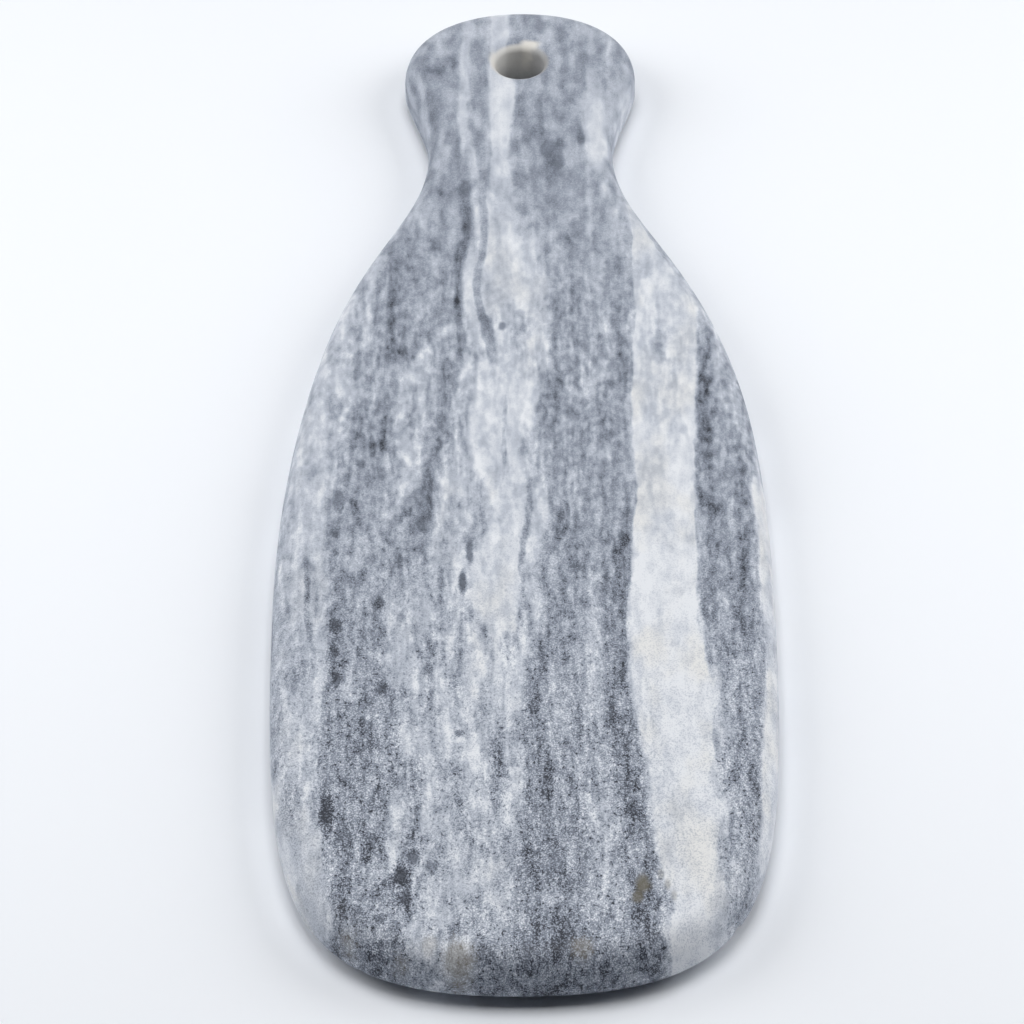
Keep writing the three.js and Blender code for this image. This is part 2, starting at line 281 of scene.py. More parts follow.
        (30, -4.5, 0.5, 0.0), (15, -5.1, 0.6, 0.5), (-8, -5.3, 0.7, 0.6), (-20, -4.8, 0.6, 0.0))),
    Band("mottled streak, outer", 0.42, 0.60, (
        (-45, -28, 1.5, 0.0), (-65, -27.3, 1.6, 0.5), (-85, -26.8, 1.6, 0.55), (-105, -27, 1.5, 0.5),
        (-125, -27.5, 1.2, 0.0))),
    Band("mottled streak, inner", 0.40, 0.60, (
        (-80, -19.5, 0.8, 0.0), (-95, -19.3, 1, 0.55), (-115, -19.5, 1, 0.5), (-128, -19, 0.8, 0.0))),
    Band("grey wedge", 0.45, 0.60, (
        (-122, -10.5, 0.6, 0.0), (-130, -10, 0.8, 0.3), (-140, -9, 1.3, 0.5), (-150, -7.2, 2.2, 0.6),
        (-160, -8, 1.3, 0.3), (-170, -8, 1, 0.0))),
    Band("left margin line", 0.40, 0.60, (
        (-48, -65, 0.6, 0.0), (-62, -64.6, 0.8, 0.7), (-80, -64.3, 0.8, 0.7), (-92, -62, 0.8, 0.5),
        (-100, -61, 0.7, 0.0))),
    Band("left dark, pale line", 0.80, 0.60, (
        (34, -37, 0.8, 0.0), (25, -37, 0.9, 0.6), (8, -38, 0.9, 0.4), (0, -38, 0.8, 0.0))),
)

# Ramps of the bands cover this reach each way along and across the board, and half widths up to the last.
ALONG_REACH = 240.0
ACROSS_REACH = 100.0
WIDEST_HALF = 25.0


class Spot(NamedTuple):
    """A lens-shaped mark in the stone: its place and its half sizes in millimetres, and its strength."""

    across: float
    along: float
    half_across: float
    half_along: float
    strength: float


# Marks, listed one by one: dark minerals, pale and dim patches, earth, stains, and painted highlights on
# the hole's rim. A few pale and dim spots are painted highlights and painted shade on the edges.
BLACK_SPOTS = (
    Spot(-56, -25, 2.2, 5, 0.6), Spot(-49, -8, 1.3, 2.4, 0.5), Spot(-42.5, -72, 1.4, 2.4, 0.6),
    Spot(-55.5, -82, 1.9, 3, 0.75), Spot(-56, -95, 1.3, 6, 0.7), Spot(-55, -106, 1.5, 4, 0.75),
    Spot(-42, -110, 1.9, 3, 0.7), Spot(-57, -163, 1.9, 8, 0.85), Spot(-42, -154, 1.0, 3, 0.6),
    Spot(-30.5, -24, 3, 4.5, 0.4), Spot(-29, -35, 3.2, 5.5, 0.4), Spot(-37, -53, 1.6, 2.8, 0.4),
    Spot(-18, -63, 1.1, 5, 0.8), Spot(-16, -49, 1.0, 6, 0.6), Spot(-35, -190, 2.8, 5.5, 0.95),
    Spot(-34, -199, 2.2, 4.5, 0.85), Spot(-32, -182, 2.2, 4, 0.7), Spot(-19, -130, 1.1, 1.5, 0.7),
    Spot(-6, 57.5, 1.1, 1.8, 0.6), Spot(12, 140, 2.1, 6.5, 0.5), Spot(9, 147, 3, 5, 0.5),
    Spot(6, 170, 1.1, 4.5, 0.3), Spot(19.5, 153, 1.2, 5, 0.5), Spot(7, 213, 2.6, 4, 0.35),
    Spot(-52, -172, 2.5, 7, 0.5), Spot(8, -185, 4, 7, 0.35), Spot(-36, 3, 2.5, 5, 0.3),
    Spot(0, -218, 3, 6, 0.45), Spot(-26.5, -186, 1.8, 3, 0.5), Spot(-44, -175, 2, 5, 0.45),
    Spot(-47.5, -204, 1.5, 2, 0.5), Spot(-41, -207, 1.5, 2, 0.5), Spot(-12, -219, 1, 5, 0.5),
    Spot(-17.5, 127, 2, 4.5, 0.45), Spot(-17, 106, 2, 5, 0.4), Spot(25.5, -122, 1.1, 4.5, 0.6),
    Spot(31, -163, 2, 2.8, 0.6), Spot(30, -43, 1.3, 2.4, 0.5), Spot(-43, -219, 4, 4.5, 0.7),
    Spot(10, -218, 3.2, 4, 0.5), Spot(-27, 98, 1.6, 3.2, 0.4),
)
PALE_SPOTS = (
    Spot(-29, -78, 3.5, 7, 0.65), Spot(-37, -96, 4.5, 7, 0.75), Spot(-21, -18, 5, 6, 0.75),
    Spot(23, -165, 1.8, 5, 0.5), Spot(-25, -50, 2, 5, 0.5), Spot(-20, -101, 2.5, 5, 0.5),
    Spot(-20, -128, 5, 14, 0.4), Spot(-26, -168, 5, 8, 0.5), Spot(-19, -195, 6, 5, 0.5),
    Spot(-33, 26, 4, 9, 0.5), Spot(24, -6, 2.5, 7, 0.5), Spot(26, 35, 4, 6, 0.45),
    Spot(15, 10, 3, 4, 0.45), Spot(60, 35, 4, 5, 0.5), Spot(65, 20, 4, 5, 0.4), Spot(-51, 28, 3, 8, 0.5),
    Spot(-46, 50, 4, 6, 0.4), Spot(-52, -55, 3, 4, 0.5), Spot(-60, -85, 3, 8, 0.5),
    Spot(-22, -41, 3, 4, 0.5), Spot(-28, -133, 2.5, 9, 0.4), Spot(-40, -140, 2, 8, 0.3),
    Spot(-42, -168, 3, 4, 0.4), Spot(58, -130, 3, 4, 0.45), Spot(48, -160, 3, 6, 0.4),
    # The pale spots at (-34, 160) and (35, 178) are painted highlights on the walls of the neck.
    Spot(-48, -205, 3, 8, 0.3), Spot(-34, 160, 4, 10, 0.6), Spot(35, 178, 3, 9, 0.5),
    Spot(22, 207, 4, 5, 0.4), Spot(65, -188, 3, 8, 0.3), Spot(-38, -103, 4, 5, 0.5),
    Spot(-52, -109, 4, 6, 0.45), Spot(-29, 30, 4, 8, 0.4), Spot(50, 78, 3, 6, 0.45),
    Spot(25, -168, 6, 4, 0.35), Spot(57, -105, 3, 5, 0.4), Spot(-23, -162, 2.5, 8, 0.4),
    Spot(-32, 116, 4, 6, 0.4), Spot(-9, 83, 3, 7, 0.5), Spot(12, -85, 3, 4, 0.4),
    Spot(8, -200, 8, 3, 0.35), Spot(-22.5, -206, 2.8, 3.5, 0.6), Spot(-43, -188, 5, 4, 0.35),
    Spot(-6, 2, 5, 5, 0.4),
)
DIM_SPOTS = (
    Spot(-14, 98, 3, 5, 0.45), Spot(-35, 65, 5, 5, 0.3), Spot(43, 50, 2.5, 9, 0.3),
    Spot(57, 57, 3, 5, 0.5), Spot(11, -8, 3.5, 10, 0.4), Spot(33, -15, 2.5, 8, 0.3),
    Spot(-17, -76, 2.5, 5, 0.5), Spot(-4, -93, 3, 7, 0.4), Spot(5, -65, 2.5, 6, 0.4),
    Spot(-45, -27, 3, 6, 0.35), Spot(-22, 186, 3, 10, 0.4), Spot(14, 194, 3, 4, 0.35),
    Spot(-68, -157, 4, 10, 0.3), Spot(6, 138, 5, 9, 0.5), Spot(-15, 153, 2.5, 5, 0.35),
    # The dim spot at (25, -212) is painted shade on the rounded front edge.
    Spot(-57, 18, 3, 7, 0.4), Spot(-13, -207, 6, 5, 0.5), Spot(25, -212, 6, 8, 0.5),
    Spot(-31, -205, 4, 5, 0.4), Spot(35, 85, 5, 5, 0.35), Spot(0, 57, 4, 6, 0.35),
    Spot(23, 114, 3, 6, 0.4), Spot(1, 110, 3, 8, 0.4), Spot(68, -8, 3, 8, 0.45),
    Spot(57, -148, 3, 10, 0.4), Spot(-31, -148, 2.5, 9, 0.45), Spot(-37, -113, 6, 2.5, 0.5),
    Spot(39, -202, 3, 7, 0.5), Spot(32, -180, 5, 5, 0.35), Spot(5, -170, 4, 7, 0.35),
    Spot(-55, 45, 3, 6, 0.4), Spot(-14, 126, 2, 7, 0.5), Spot(62, -97, 3, 4, 0.35),
    Spot(62, -139, 3, 5, 0.4), Spot(-65, -102, 4, 5, 0.4), Spot(-30, 7, 3, 5, 0.4),
)
EARTH_SPOTS = (
    Spot(-19, -222, 4.0, 6, 0.45), Spot(-36, -223, 3, 4, 0.35), Spot(-52, -213, 4, 4, 0.3),
    Spot(16, -219, 3, 3, 0.3), Spot(-27, -217, 2, 3, 0.3),
)
STAIN_SPOTS = (
    Spot(33.5, -194, 2.0, 3.6, 0.9), Spot(31.8, -199, 1.6, 2.6, 0.8), Spot(38.6, -190, 0.9, 2.2, 0.4),
    Spot(40.4, -194.5, 0.9, 2.2, 0.4), Spot(42.2, -199, 0.9, 2.2, 0.35),
)
# Painted highlights on the rim of the hole.
RIM_HIGHLIGHT_SPOTS = (
    Spot(3.5, 203.2, 3.2, 2.0, 0.9), Spot(-8.8, 195.5, 1.3, 4.5, 0.5),
)
# Spots fade out over this depth below the top face, in millimetres, and across their sides between these
# shares of their half sizes.
SPOT_DEPTH = 11.0
SPOT_OUTER = 1.5
SPOT_INNER = 0.5

# Tones from 0, black, to 1, white: the lift of the stone between the bands, and the pale and dim spots.
BASE_LIFT = 0.18
PALE_TONE = 0.86
DIM_TONE = 0.34
# The tones at which the black, dark, grey, pale and white colours stand.
TONE_STOPS = (0.0, 0.25, 0.5, 0.75, 1.0)

# The stone's detail changes along the board from its middle to the front and to the knob, in millimetres.
MIDDLE_PLACE = 20.0
FRONT_PLACE = -170.0
KNOB_PLACE = 160.0

# The way across and along the board to the side of the hole's wall without painted light, away from its
# side with painted light.
BARE_SIDE = (1, -0.6, 0)

# A noise moves by this much for each seed, so that no two noises look alike.
SEED_STEP = (7.3, 3.1, 5.7)
PURE_WHITE = (1.0, 1.0, 1.0, 1.0)


def linear(colour):
    """An sRGB colour from 0 to 255 as the linear colour that Blender works in."""
    share = np.array(colour) / 255
    return tuple(np.where(share > 0.04045, ((share + 0.055) / 1.055) ** 2.4, share / 12.92).tolist())


def length_setting(name, description, default):
    """A length that a user can change."""
    return bpy.props.FloatProperty(
        name=name, description=description, default=default, unit="LENGTH", precision=4)


def colour_setting(name, description, default):
    """A colour that a user can change, with an sRGB default from 0 to 255."""
    return bpy.props.FloatVectorProperty(
        name=name, description=description, default=linear(default), subtype="COLOR", min=0, max=1)


def power_setting(name, description, default):
    """A lamp's power that a user can change."""
    return bpy.props.FloatProperty(name=name, description=description, default=default, unit="POWER")


def share_setting(name, description, default):
    """A share from 0 to 1 that a user can change."""
    return bpy.props.FloatProperty(
        name=name, description=description, default=default, subtype="FACTOR", min=0, max=1)


class SlabShape(bpy.types.PropertyGroup):
    """Sizes of the marble slab."""

    length: length_setting("Length", "Length of the slab along Y", SLAB_SIZE.y)
    width: length_setting("Width", "Widest part of the slab, at its belly", SLAB_SIZE.x)
    knob_width: length_setting("Knob width", "Widest part of the knob", 75 * MM)
    neck_width: length_setting("Neck width", "Narrowest part of the neck", 59 * MM)
    knob_from_end: length_setting("Knob from end", "From the handle end to the knob's widest part", 32 * MM)
    neck_from_end: length_setting("Neck from end", "From the handle end to the narrowest part", 70 * MM)
    belly_from_front: length_setting("Belly from front", "From the front end to the widest part", 150 * MM)
    lean: length_setting("Lean", "How far hand finishing leaves the shoulders to one side", 0.9 * MM)
    top_edge: length_setting("Top edge radius", "Rounding of the upper edge", 8 * MM)
    bottom_edge: length_setting("Bottom edge radius", "Rounding of the lower edge", 2 * MM)
    hole_diameter: length_setting("Hole diameter", "Diameter of the hanging hole", 16 * MM)
    hole_from_end: length_setting("Hole from end", "From the handle end to the hole's middle", 31 * MM)
    hole_top_rim: length_setting("Hole top rim", "Rounding of the hole's upper rim", 2.5 * MM)
    hole_bottom_rim: length_setting("Hole bottom rim", "Rounding of the hole's lower rim", 1 * MM)


class StoneFinish(bpy.types.PropertyGroup):
    """Colours and surface of the marble."""

    white: colour_setting("White", "The white bands", (228, 231, 236))
    pale: colour_setting("Pale", "The pale grey bands", (188, 194, 205))
    grey: colour_setting("Grey", "The middle grey", (152, 159, 172))
    dark: colour_setting("Dark", "The dark streaks", (111, 118, 131))
    black: colour_setting("Black", "The darkest spots", (36, 40, 50))
    cream: colour_setting("Cream", "Warm filter over parts of the white bands", (255, 252, 246))
    stain: colour_setting("Stain", "Rusty mineral stain", (96, 92, 80))
    earth: colour_setting("Earth", "Earthy tint at the front edge", (178, 173, 163))
    fracture: colour_setting("Fracture", "Fresh stone inside a chip", (206, 207, 208))
    drilled: colour_setting("Drilled", "Bare stone of the drilled hole", (166, 164, 161))
    # Painted shade deep in the hole.
    bore: colour_setting("Painted hole shade", "Painted shade deep in the hole", (92, 91, 90))
    # Painted light on one side of the hole's wall, and painted highlights on its rim.
    painted_hole_light: colour_setting("Painted hole light", "Pale side of the drilled hole", (226, 223, 216))
    grain: share_setting("Grain", "Strength of the salt and pepper grain", 0.75)
    roughness: share_setting("Roughness", "Roughness of the honed face", 0.55)
    relief: length_setting("Relief", "Height of the grain left by honing", 0.05 * MM)


class FootFinish(bpy.types.PropertyGroup):
    """Colours of the feet and of the adhesive that bonds them."""

    rubber: colour_setting("Rubber", "Moulded rubber of the feet", (74, 76, 79))
    dust: colour_setting("Dust", "Dust and wear on the rubber", (122, 121, 118))
    rubber_roughness: share_setting("Rubber roughness", "Roughness of the moulded rubber", 0.72)
    adhesive: colour_setting("Adhesive", "Soft adhesive disc", (217, 214, 206))
    adhesive_age: colour_setting("Aged adhesive", "Yellowed rim of the adhesive disc", (196, 186, 160))
    adhesive_roughness: share_setting("Adhesive roughness", "Roughness of the adhesive", 0.45)


class StudioLook(bpy.types.PropertyGroup):
    """The floor and the light."""

    floor: colour_setting("Floor", "Colour of the plain floor", (247, 250, 255))
    lamp_power: power_setting("Lamp power", "Power of the overhead softbox", 11.0)
    lamp_width: length_setting("Lamp width", "Side of the square softbox above", 0.7)
    side_power: power_setting("Side power", "Power of each softbox at the sides", 7.2)
    side_width: length_setting("Side width", "Side of each square softbox at the sides", 0.9)
    sky: share_setting("Sky", "Brightness of the soft light from above", 0.05)


class BoardSettings(bpy.types.PropertyGroup):
    """All settings of the serving board."""

    slab: bpy.props.PointerProperty(type=SlabShape, name="Slab", description="Sizes of the slab")
    stone: bpy.props.PointerProperty(type=StoneFinish, name="Stone", description="Finish of the marble")
    feet: bpy.props.PointerProperty(type=FootFinish, name="Feet", description="Finish of the feet")
    studio: bpy.props.PointerProperty(type=StudioLook, name="Studio", description="Floor and light")


def cubic(start, first, second, end):
    """Samples of (1-s)^3 start + 3(1-s)^2 s first + 3(1-s) s^2 second + s^3 end, with s from 0 to 1."""
    s = np.linspace(0, 1, CURVE_SAMPLES, endpoint=False)[:, None]
    rest = 1 - s
    return (rest ** 3 * np.array(start) + 3 * rest ** 2 * s * np.array(first)
            + 3 * rest * s ** 2 * np.array(second) + s ** 3 * np.array(end))


def outline_curve(shape):
    """Dense closed outline in plan, clockwise from the handle end.

    The right side is four cubic curves through the knob's end, its widest point, the neck, the belly and
    the front end, each square to the board or along it where two curves meet. The left side is its mirror
    image. The whole then leans aside by a bell curve along the board.
    """
    half = shape.length / 2
    knob_across, knob_along = shape.knob_width / 2, half - shape.knob_from_end
    neck_across, neck_along = shape.neck_width / 2, half - shape.neck_from_end
    belly_across, belly_along = shape.width / 2, shape.belly_from_front - half
    knob_rise = half - knob_along
    waist = knob_along - neck_along
    shoulder = neck_along - belly_along
    front_drop = belly_along + half
    right = np.concatenate([
        cubic((0, half), (KNOB_END_FULLNESS * knob_across, half),
              (knob_across, knob_along + KNOB_ABOVE_FULLNESS * knob_rise), (knob_across, knob_along)),
        cubic((knob_across, knob_along), (knob_across, knob_along - KNOB_BELOW_FULLNESS * waist),
              (neck_across, neck_along + NECK_ABOVE_FULLNESS * waist), (neck_across, neck_along)),
        cubic((neck_across, neck_along), (neck_across, neck_along - NECK_BELOW_FULLNESS * shoulder),
              (belly_across, belly_along + BELLY_ABOVE_FULLNESS * shoulder), (belly_across, belly_along)),
        cubic((belly_across, belly_along), (belly_across, belly_along - BELLY_BELOW_FULLNESS * front_drop),
              (FRONT_END_FULLNESS * belly_across, -half), (0, -half)),
        np.array([[0.0, -half]]),
    ])
    left = right[-2:0:-1] * (-1, 1)
    loop = np.concatenate([right, left])
    loop[:, 0] += shape.lean * np.exp(-((loop[:, 1] - LEAN_PLACE) / LEAN_REACH) ** 2)
    return loop


def outline_points(shape):
    """Outline points with their outward normals, closer together beside the chips.

    Points are spread evenly over the sum of the steps along the curve, each step counted more the nearer it
    lies to a chip. A normal is the tangent, from the neighbours on both sides, turned a quarter.
    """
    loop = outline_curve(shape)
    closed = np.concatenate([loop, loop[:1]])
    steps = np.linalg.norm(np.diff(closed, axis=0), axis=1)
    chips = np.array([(chip.across, chip.along) for chip in CHIPS])
    nearness = np.linalg.norm(loop[:, None] - chips[None], axis=2) / CHIP_REACH
    weight = 1 + CHIP_DENSITY * np.exp(-nearness ** 2).sum(axis=1)
    run = np.concatenate([[0], np.cumsum(steps * weight)])
    wanted = np.linspace(0, run[-1], OUTLINE_POINTS, endpoint=False)
    points = np.stack([np.interp(wanted, run, closed[:, axis]) for axis in (0, 1)], axis=1)
    tangents = np.roll(points, -1, axis=0) - np.roll(points, 1, axis=0)
    tangents /= np.linalg.norm(tangents, axis=1, keepdims=True)
    normals = np.stack([-tangents[:, 1], tangents[:, 0]], axis=1)
    return points, normals


def slab_section(shape):
    """One closed section of the slab, from the hole's wall over the top, down the edge and back underneath.

    Four numbers for each ring: the blend from the hole's circle, 0, to the outline, 1, the radius of that
    circle, the inset from the outline, and the height. Rounded edges are quarter circles.
    """
    top, bottom = SLAB_HIGH.z, SLAB_LOW.z
    bore = shape.hole_diameter / 2
    upper, lower = shape.hole_top_rim, shape.hole_bottom_rim
    edge, foot = shape.top_edge, shape.bottom_edge

    def rings(count, blend, circle, inset, height):
        return np.stack([np.broadcast_to(np.asarray(part, float), (count,))
                         for part in (blend, circle, inset, height)], axis=1)

    def quarter(count):
        return np.linspace(0, math.pi / 2, count)

    rim_turn, edge_turn = quarter(TOP_RIM_RINGS), quarter(TOP_EDGE_RINGS)
    foot_turn, under_turn = quarter(BOTTOM_EDGE_RINGS), quarter(BOTTOM_RIM_RINGS)
    parts = [
        rings(BORE_RINGS, 0, bore, edge, np.linspace(bottom + lower, top - upper, BORE_RINGS)),
        rings(TOP_RIM_RINGS, 0, bore + upper * (1 - np.cos(rim_turn)), edge,
              top - upper * (1 - np.sin(rim_turn)))[1:],
        rings(1, 0, bore + upper + EDGE_RING, edge, top),
        rings(TOP_FACE_RINGS, np.linspace(0, 1, TOP_FACE_RINGS), bore + upper + FACE_RING,
              edge + FACE_RING, top),
        rings(1, 1, bore, edge + EDGE_RING, top),
        rings(TOP_EDGE_RINGS, 1, bore, edge * (1 - np.sin(edge_turn)),
              top - edge * (1 - np.cos(edge_turn))),
        rings(SIDE_RINGS, 1, bore, 0, np.linspace(top - edge, bottom + foot, SIDE_RINGS))[1:],
        rings(BOTTOM_EDGE_RINGS, 1, bore, foot * (1 - np.cos(foot_turn)),
              bottom + foot * (1 - np.sin(foot_turn)))[1:],
        rings(1, 1, bore, foot + EDGE_RING, bottom),
        rings(UNDERSIDE_RINGS, 1 - np.linspace(0, 1, UNDERSIDE_RINGS), bore + lower + FACE_RING,
              foot + FACE_RING, bottom),
        rings(1, 0, bore + lower + EDGE_RING, foot, bottom),
        rings(BOTTOM_RIM_RINGS, 0, bore + lower * (1 - np.cos(under_turn)), foot,
              bottom + lower * (1 - np.sin(under_turn)))[:0:-1],
    ]
    return np.concatenate(parts)


def slab_surface(shape):
    """Grid of points over the whole slab, closed both ways, and how deep each lies in a chip.

    Every ring of the section blends a circle round the hole with the outline moved inwards. A ray from the
    circle to the outline sets off along the board and then turns across it, so that rays pass the neck
    without crossing: along the board its share is 1 - (1 - blend)^turn, and across it blend^turn. The
    bearing of a ray at the hole is part the way to its outline point and part an even turn.
    """
    outline, normals = outline_points(shape)
    section = slab_section(shape)
    blend, circle, inset, height = (section[None, :, part] for part in range(4))
    hole = np.array([0, shape.length / 2 - shape.hole_from_end])
    away = outline - normals * shape.top_edge - hole
    direct = np.unwrap(np.arctan2(away[:, 1], away[:, 0]))
    even = direct[0] - np.arange(len(direct)) * 2 * math.pi / len(direct)
    bearing = direct + RAY_EVENNESS * (even - direct)
    direction = np.stack([np.cos(bearing), np.sin(bearing)], axis=1)
    rim = hole + circle[..., None] * direction[:, None]
    side = outline[:, None] - inset[..., None] * normals[:, None]
    share = np.stack([blend ** RAY_TURN, 1 - (1 - blend) ** RAY_TURN], axis=2)
    plan = rim + share * (side - rim)
    points = np.concatenate([plan, np.broadcast_to(height[..., None], plan.shape[:2] + (1,))], axis=2)
    return scooped(points, outline, normals, shape)


def scooped(points, outline, normals, shape):
    """Takes the chips out of the lower edge: a point inside a chip's ball moves out to the ball's surface.

    The ball's middle lies outside the edge, half way between the outward normal and straight down, so that
    the ball reaches into the stone by the chip's depth. Also gives the share of that depth that each point
    moved.
    """
    depth = np.zeros(points.shape[:2])
    round_off = shape.bottom_edge * (1 - math.sqrt(0.5))
    for chip in CHIPS:
        nearest = np.argmin(np.linalg.norm(outline - (chip.across, chip.along), axis=1))
        normal = np.append(normals[nearest], 0)
        edge = np.append(outline[nearest], SLAB_LOW.z) - normal * round_off + np.array([0, 0, round_off])
        outwards = (normal - np.array([0, 0, 1])) * math.sqrt(0.5)
        middle = edge + outwards * (chip.ball - chip.depth)
        offset = points - middle
        distance = np.linalg.norm(offset, axis=2)
        push = np.clip(chip.ball - distance, 0, None)
        points = points + offset * (push / distance)[..., None]
        depth = np.maximum(depth, push / chip.depth)
    return points, depth


def mesh_piece(name, points, faces, material):
    """A smooth mesh object at the origin, from an array of points and a list of faces."""
    mesh = bpy.data.meshes.new(name)
    mesh.from_pydata(points.tolist(), [], faces)
    mesh.materials.append(material)
    mesh.shade_smooth()
    piece = bpy.data.objects.new(name, mesh)
    bpy.context.scene.collection.objects.link(piece)
    return piece


def closed_grid_faces(columns, rows):
    """Four-cornered faces of a grid that closes both ways, their corners ordered to face outwards."""
    index = np.arange(columns * rows).reshape(columns, rows)
    beside = np.roll(index, -1, axis=0)
    corners = (index, beside, np.roll(beside, -1, axis=1), np.roll(index, -1, axis=1))
    return np.stack(corners, axis=2).reshape(-1, 4).tolist()


def turned_piece(name, middle, profile, material, segments=72):
    """A piece turned about a vertical axis: rings of the profile (radius, height), closed by two poles.

    A ring's points are middle + radius * (cos turn, sin turn), with even turns. The profile runs from the
    lower pole to the upper one.
    """
    turn = np.linspace(0, 2 * math.pi, segments, endpoint=False)
    circle = np.stack([np.cos(turn), np.sin(turn)], axis=1)
    radius, height = profile[1:-1, 0], profile[1:-1, 1]
    plan = np.array(middle) + radius[:, None, None] * circle[None]
    rings = np.concatenate([plan, np.broadcast_to(height[:, None, None], plan.shape[:2] + (1,))], axis=2)
    poles = np.array([(*middle, profile[0, 1]), (*middle, profile[-1, 1])])
    points = np.concatenate([rings.reshape(-1, 3), poles])
    index = np.arange(len(radius) * segments).reshape(len(radius), segments)
    beside = np.roll(index, -1, axis=1)
    quads = np.stack([index[:-1], beside[:-1], beside[1:], index[1:]], axis=2).reshape(-1, 4)
    under, over = len(points) - 2, len(points) - 1
    lower = np.stack([beside[0], index[0], np.full(segments, under)], axis=1)
    upper = np.stack([index[-1], beside[-1], np.full(segments, over)], axis=1)
    return mesh_piece(name, points, quads.tolist() + lower.tolist() + upper.tolist(), material)


def foot_profile(radius, low, high):
    """Profile of a bumper foot: a dished ground face, a quarter ellipse up to the skirt, and a flat top.

    The dish is a shallow cosine bowl with a small raised gate mark in the middle.
    """
    ground = radius * GROUND_SHARE
    skirt = low + (high - low) * SKIRT_SHARE
    reach = np.linspace(0, 1, 14)
    dish = DISH_DEPTH * (1 + np.cos(math.pi * reach)) / 2 - GATE_HEIGHT * (reach < GATE_SHARE)
    bowl = np.stack([ground * BOWL_SHARE * reach, low + dish], axis=1)
    lip = np.array([(ground * LIP_SHARE, low), (ground, low)])
    turn = np.linspace(0, math.pi / 2, 12)
    side = np.stack([ground + (radius - ground) * np.sin(turn),
                     skirt - (skirt - low) * np.cos(turn)], axis=1)[1:]
    shoulder = np.stack([radius - CROWN_RADIUS * (1 - np.cos(turn)),
                         high - CROWN_RADIUS * (1 - np.sin(turn))], axis=1)
    top = np.array([(radius - 2 * CROWN_RADIUS, high), (radius / 2, high), (0, high)])
    return np.concatenate([bowl, lip, side, shoulder, top])


def adhesive_profile(radius, low, high):
    """Profile of an adhesive disc: flat faces, and a side that bulges out in a half circle."""
    bulge = (high - low) / 2
    turn = np.linspace(-math.pi / 2, math.pi / 2, 11)
    side = np.stack([radius - bulge + bulge * np.cos(turn), low + bulge + bulge * np.sin(turn)], axis=1)
    inner = radius - 2 * bulge
    return np.concatenate([[(0, low), (radius / 2, low), (inner, low)], side,
                           [(inner, high), (radius / 2, high), (0, high)]])


class Wire:
    """The output of a shader node. Sums of wires and numbers add Math nodes."""

    def __init__(self, tree, socket=None):
        self.tree = tree
        self.socket = socket

    def node(self, kind, settings=None, sockets=None, output=0):
        """Adds a node, first its settings, then the values or links of its sockets, and gives an output."""
        made = self.tree.nodes.new("ShaderNode" + kind)
        for name, value in (settings or {}).items():
            if name == "stops":
                set_stops(made.color_ramp, value)
            elif name == "blending":
                made.color_ramp.interpolation = value
            else:
                setattr(made, name, value)
        for name, value in (sockets or {}).items():
            if isinstance(value, Wire):
                self.tree.links.new(value.socket, made.inputs[name])
            else:
                made.inputs[name].default_value = value
        return Wire(self.tree, made.outputs[output] if made.outputs else None)

    def output(self, name):
        """Another output of the same node."""
        return Wire(self.tree, self.socket.node.outputs[name])

    def math(self, operation, *values):
        """A Math node on this wire and the values."""
        return self.node("Math", {"operation": operation}, dict(enumerate((self, *values))))

    def __add__(self, other):
        return self.math("ADD", other)

    def __sub__(self, other):
        return self.math("SUBTRACT", other)

    def __rsub__(self, other):
        return self.node("Math", {"operation": "SUBTRACT"}, {0: other, 1: self})

    def __mul__(self, other):
        return self.math("MULTIPLY", other)

    def __truediv__(self, other):
        return self.math("DIVIDE", other)

    def __abs__(self):
        return self.math("ABSOLUTE")

    __radd__ = __add__
    __rmul__ = __mul__


def set_stops(ramp, stops):
    """Gives a ramp these stops, each a position and a colour of four numbers."""
    ordered = sorted(stops)
    while len(ramp.elements) < len(ordered):
        ramp.elements.new(1.0)
    for element, (position, colour) in zip(ramp.elements, ordered):
        element.position = position
        element.color = colour


def new_finish(name):
    """A new material with an empty node tree, and a wire to start from."""
    material = bpy.data.materials.new(name)
    material.use_nodes = True
    material.node_tree.nodes.clear()
    return material, Wire(material.node_tree)


def show(start, shader):
    """Joins a shader to the material's output."""
    start.node("OutputMaterial", sockets={"Surface": shader})


def opaque(colour):
    """A colour of three numbers with full alpha."""
    return (*colour, 1.0)


def spread(point, scale, offset=(0, 0, 0)):
    """The point times a scale plus an offset, axis by axis."""
    return point.node("VectorMath", {"operation": "MULTIPLY_ADD"}, {0: point, 1: scale, 2: offset})


def noise(point, size, seed, detail=2.0, coarse=0.5):
    """Noise around 0.5 with lumps of these sizes on each axis, in the point's own unit."""
    moved = spread(point, [1 / part for part in size], [seed * step for step in SEED_STEP])
    return point.node("TexNoise", sockets={
        "Vector": moved, "Scale": 1.0, "Detail": detail, "Roughness": coarse})


def rise(value, low, high):
    """Eases from 0 at low to 1 at high, or falls where low is the greater."""
    return value.node("MapRange", {"interpolation_type": "SMOOTHSTEP"},
                      {"Value": value, "From Min": low, "From Max": high})


def blended(share, first, second):
    """First where the share is 0, second where it is 1, for plain numbers."""
    return share.node("Mix", {"data_type": "FLOAT"}, {0: share, 2: first, 3: second})


def tinted(share, first, second):
    """First colour where the share is 0, second where it is 1."""
    return share.node("Mix", {"data_type": "RGBA"}, {0: share, 6: first, 7: second}, output=2)


def filtered(colour, glass):
    """A colour seen through a second one, as if through tinted glass: the two are multiplied."""
    settings = {"data_type": "RGBA", "blend_type": "MULTIPLY"}
    return colour.node("Mix", settings, {0: 1.0, 6: colour, 7: glass}, output=2)


def distance_from_middle(point):
    """Length of the way from the origin to the point."""
    return point.node("VectorMath", {"operation": "LENGTH"}, {0: point}, output="Value")


def in_millimetres(start, top=0.0):
    """The place on the piece in millimetres, with heights counted from the given one."""
    return spread(start.node("TexCoord", output="Object"), (1 / MM,) * 3, (0, 0, -top / MM))


